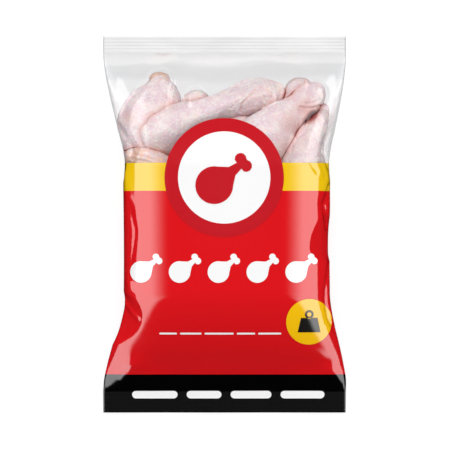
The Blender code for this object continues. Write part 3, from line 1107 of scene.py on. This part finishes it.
def print_shape(name, loops, material, lift=PRINT_LIFT, step=PRINT_STEP):
    """Plain printed shapes on the film, each an outline; an outline inside another is a hole in it."""
    points, edges = [], []
    for loop in loops:
        first = len(points)
        for a, b in zip(loop, loop[1:] + loop[:1]):
            parts = max(1, int(math.dist(a, b) / step))
            points += [Vector(a).lerp(Vector(b), k / parts) for k in range(parts)]
        count = len(points) - first
        edges += [(first + k, first + (k + 1) % count) for k in range(count)]
    outline = len(points)
    low_x, high_x = min(p.x for p in points), max(p.x for p in points)
    low_y, high_y = min(p.y for p in points), max(p.y for p in points)
    for x in np.arange(low_x + step / 2, high_x, step):
        for y in np.arange(low_y + step / 2, high_y, step):
            if sum(inside((x, y), loop) for loop in loops) % 2:
                if min((p - Vector((x, y))).length for p in points[:outline]) > step * EDGE_GAP:
                    points.append(Vector((x, y)))
    flat, _, faces, _, _, _ = geometry.delaunay_2d_cdt(points, edges, [], 0, WELD)
    kept = []
    for face in faces:
        middle = sum((flat[k] for k in face), Vector((0, 0))) / len(face)
        if sum(inside(middle, loop) for loop in loops) % 2:
            kept.append(tuple(face))
    return mesh_piece(name, [on_film(p.x, p.y, lift) for p in flat], kept, material)


def arc_points(x, y, radius, start, sweep, count):
    """Points along part of a circle, with its angles in degrees."""
    turns = [math.radians(start + sweep * k / (count - 1)) for k in range(count)]
    return [(x + radius * math.cos(t), y + radius * math.sin(t)) for t in turns]


def rounded_bar(x, y, width, height):
    """The outline of a bar with round ends, by its middle."""
    reach = width / 2 - height / 2
    loop = []
    for side, start in ((1, -90), (-1, 90)):
        loop += arc_points(x + side * reach, y, height / 2, start, 180, 9)
    return loop


def bars_in_line(y, height, spans):
    return [rounded_bar((start + end) / 2, y, end - start, height) for start, end in spans]


def drumstick_sign(x, y, size, turn):
    """The outline of a plain drumstick: a round thick part, a narrow shank and a two-lobed end."""
    loop = arc_points(-0.20, 0.0, 0.30, 40, 280, 25)
    loop += [(0.16, -0.085), (0.30, -0.060)]
    loop += arc_points(0.385, -0.070, 0.095, -150, 190, 7)
    loop += arc_points(0.385, 0.070, 0.095, -40, 190, 7)
    loop += [(0.30, 0.060), (0.16, 0.085)]
    c, s = math.cos(math.radians(turn)), math.sin(math.radians(turn))
    return [(x + size * (c * a - s * b), y + size * (s * a + c * b)) for a, b in loop]


def weight_sign(x, y, size):
    """A plain weight: a block that narrows upwards, with a ring for a handle."""
    block = [(-0.50, -0.45), (0.50, -0.45), (0.36, 0.18), (-0.36, 0.18)]
    return [
        [(x + size * a, y + size * b) for a, b in block],
        circle((x, y + 0.33 * size), 0.19 * size, 28),
        circle((x, y + 0.33 * size), 0.10 * size, 20),
    ]


white_ink = printed("white_print", (0.93, 0.93, 0.93))
red_ink = printed("red_ring_print", (0.55, 0.010, 0.018))
dark_ink = printed("dark_print", (0.012, 0.011, 0.010))
yellow_ink = printed("yellow_dot_print", (0.97, 0.55, 0.003))

SIGN_TURN = 38
DISC_SIGN_SIZE = 0.082
SIGN_LINE, SIGN_SIZE, SIGN_SPACING = -0.056, 0.047, 0.0505
SIGN_PLACES = [MIDDLE_X + (k - 2) * SIGN_SPACING for k in range(5)]
WEIGHT_SIZE = 0.030
SMALL_LINE, SMALL_HEIGHT = -0.1422, 0.0024
SMALL_SPANS = ((-0.085, -0.062), (-0.058, -0.030), (-0.026, 0.012), (0.016, 0.040), (0.044, 0.074))
FOOT_LINE, FOOT_HEIGHT = -0.2245, 0.0100
FOOT_SPANS = ((-0.122, -0.062), (-0.050, -0.004), (0.008, 0.062), (0.074, 0.132))

ring = circle(RING_CENTRE, RING_RADIUS, 144)
disc = circle(RING_CENTRE, DISC_RADIUS, 120)
signs = [drumstick_sign(x, SIGN_LINE, SIGN_SIZE, SIGN_TURN) for x in SIGN_PLACES]
small_line = bars_in_line(SMALL_LINE, SMALL_HEIGHT, SMALL_SPANS)
foot_line = bars_in_line(FOOT_LINE, FOOT_HEIGHT, FOOT_SPANS)
disc_sign = [drumstick_sign(*RING_CENTRE, DISC_SIGN_SIZE, SIGN_TURN)]
weight = weight_sign(*DOT_CENTRE, WEIGHT_SIZE)
prints = [
    print_shape("print_ring", [ring, disc], red_ink),
    print_shape("print_disc", [disc], white_ink),
    print_shape("print_dot", [circle(DOT_CENTRE, DOT_RADIUS, 72)], yellow_ink, step=FINE_STEP),
    print_shape("print_signs", signs, white_ink),
    print_shape("print_small_line", small_line, white_ink),
    print_shape("print_foot_line", foot_line, white_ink),
    print_shape("print_sign_in_disc", disc_sign, red_ink, PRINT_LIFT * 2),
    print_shape("print_weight", weight, dark_ink, PRINT_LIFT * 2, FINE_STEP),
]
for piece in prints:
    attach(piece, "root")

# Camera, floor and lights
CAMERA_X, CAMERA_Y, CAMERA_HEIGHT = 0.00066, -0.00066, 6.0
FRAME_WIDTH = 0.595
SENSOR = 36.0
PANEL_DISTANCE = 3.0
PANEL_RADIANCE = 1.9
PANEL_STEPS, PANEL_TURNS = 24, 96
SAME_EDGES = ((-72, 66, 76, 94), (-50, 46, 58, 88), (-36, 32, 48, 80), (-20, 26, 46, 73), (15, 26, 46, 73))
LEFT_EDGES = (*SAME_EDGES, (36, 30, 48, 82), (48, 50, 62, 92), (62, 70, 80, 97), (74, 79, 89, 104))
RIGHT_EDGES = (*SAME_EDGES, (36, 34, 50, 82), (48, 56, 68, 92), (62, 75, 84, 97), (71, 82, 89, 104))
END_FADE = 3
OVERHEAD, OVERHEAD_SPREAD, OVERHEAD_TILT = 0.60, 50, -27
SURROUND = 0.62
FLOOR_REACH, FLOOR_DROP = 5.0, 0.0005
FLOOR_GREY, FLOOR_GLOW = 0.25, 0.78


def add_camera():
    data = bpy.data.cameras.new("camera")
    data.sensor_width = SENSOR
    data.lens = SENSOR * CAMERA_HEIGHT / FRAME_WIDTH
    camera = add_object("camera", data)
    camera.location = (CAMERA_X, CAMERA_Y, CAMERA_HEIGHT)
    bpy.context.scene.camera = camera


def add_panel(name, side, edges):
    """A curved soft light far round the bag, which fades towards the zenith and ends sharply below.

    side is -1 for the left and 1 for the right. edges says how the light runs round the bag: at each
    swing from level with the middle towards the foot, the angles from the zenith where it begins to
    show, where it is full and where it ends, all in degrees.
    """
    swings, *bounds = np.array(edges, dtype=float).T
    swing = mix(swings[0], swings[-1], np.arange(PANEL_TURNS + 1) / PANEL_TURNS)
    soft, full, foot = (np.interp(swing, swings, bound) for bound in bounds)
    tilt = mix(soft, foot, np.arange(PANEL_STEPS + 1)[:, None] / PANEL_STEPS)
    from_end = smooth(np.minimum(swing - swings[0], swings[-1] - swing) / END_FADE)
    shares = smooth((tilt - soft) / (full - soft)) * from_end
    turn, across, up = np.radians(swing), np.sin(np.radians(tilt)), np.cos(np.radians(tilt))
    places = np.stack([side * across * np.cos(turn), -across * np.sin(turn), up], axis=-1)
    corner = np.arange(PANEL_STEPS)[:, None] * (PANEL_TURNS + 1) + np.arange(PANEL_TURNS)
    after = corner + PANEL_TURNS + 1
    faces = np.stack([corner, after, after + 1, corner + 1], axis=-1).reshape(-1, 4)
    material, nodes, links = node_material(name)
    nodes.remove(nodes["Principled BSDF"])
    glow = add_node(nodes, "Emission")
    share = add_node(nodes, "Attribute")
    share.attribute_name = "share"
    strength = add_node(nodes, "Math")
    strength.operation = "MULTIPLY"
    strength.inputs[1].default_value = PANEL_RADIANCE
    links.new(share.outputs["Fac"], strength.inputs[0])
    links.new(strength.outputs[0], glow.inputs["Strength"])
    links.new(glow.outputs[0], nodes["Material Output"].inputs["Surface"])
    panel = mesh_piece(name, places.reshape(-1, 3) * PANEL_DISTANCE, faces, material)
    store(panel, "share", shares.reshape(-1))
    for ray in ("camera", "diffuse", "transmission", "shadow"):
        setattr(panel, "visible_" + ray, False)


def add_overhead():
    """Even light from above for the colours, kept out of the film's reflections."""
    data = bpy.data.lights.new("overhead", "SUN")
    data.energy = OVERHEAD * math.pi
    data.angle = math.radians(OVERHEAD_SPREAD)
    light = add_object("overhead", data)
    light.rotation_euler.x = math.radians(OVERHEAD_TILT)
    light.location = (0, 0, PANEL_DISTANCE)
    light.visible_glossy = False


def add_floor():
    """A grey floor with a glow of its own, so that it looks as white as the photo's ground."""
    glow = {"Emission_Color": (1, 1, 1, 1), "Emission_Strength": FLOOR_GLOW}
    material = plain_material("floor", (FLOOR_GREY, FLOOR_GREY, FLOOR_GREY), 0.9, **glow)
    corners = [(x * FLOOR_REACH, y * FLOOR_REACH, 0) for x, y in ((-1, -1), (1, -1), (1, 1), (-1, 1))]
    floor = mesh_piece("floor", corners, [(0, 1, 2, 3)], material)
    floor.location.z = -FLOOR_DROP
    floor.visible_glossy = False


def add_world():
    world = bpy.data.worlds.new("studio")
    world.use_nodes = True
    set_inputs(world.node_tree.nodes["Background"], Color=(1, 1, 1, 1), Strength=SURROUND)
    world.cycles_visibility.glossy = False
    bpy.context.scene.world = world


add_camera()
add_floor()
add_world()
add_overhead()
add_panel("panel_left", -1, LEFT_EDGES)
add_panel("panel_right", 1, RIGHT_EDGES)
bpy.context.scene.view_settings.view_transform = "Standard"
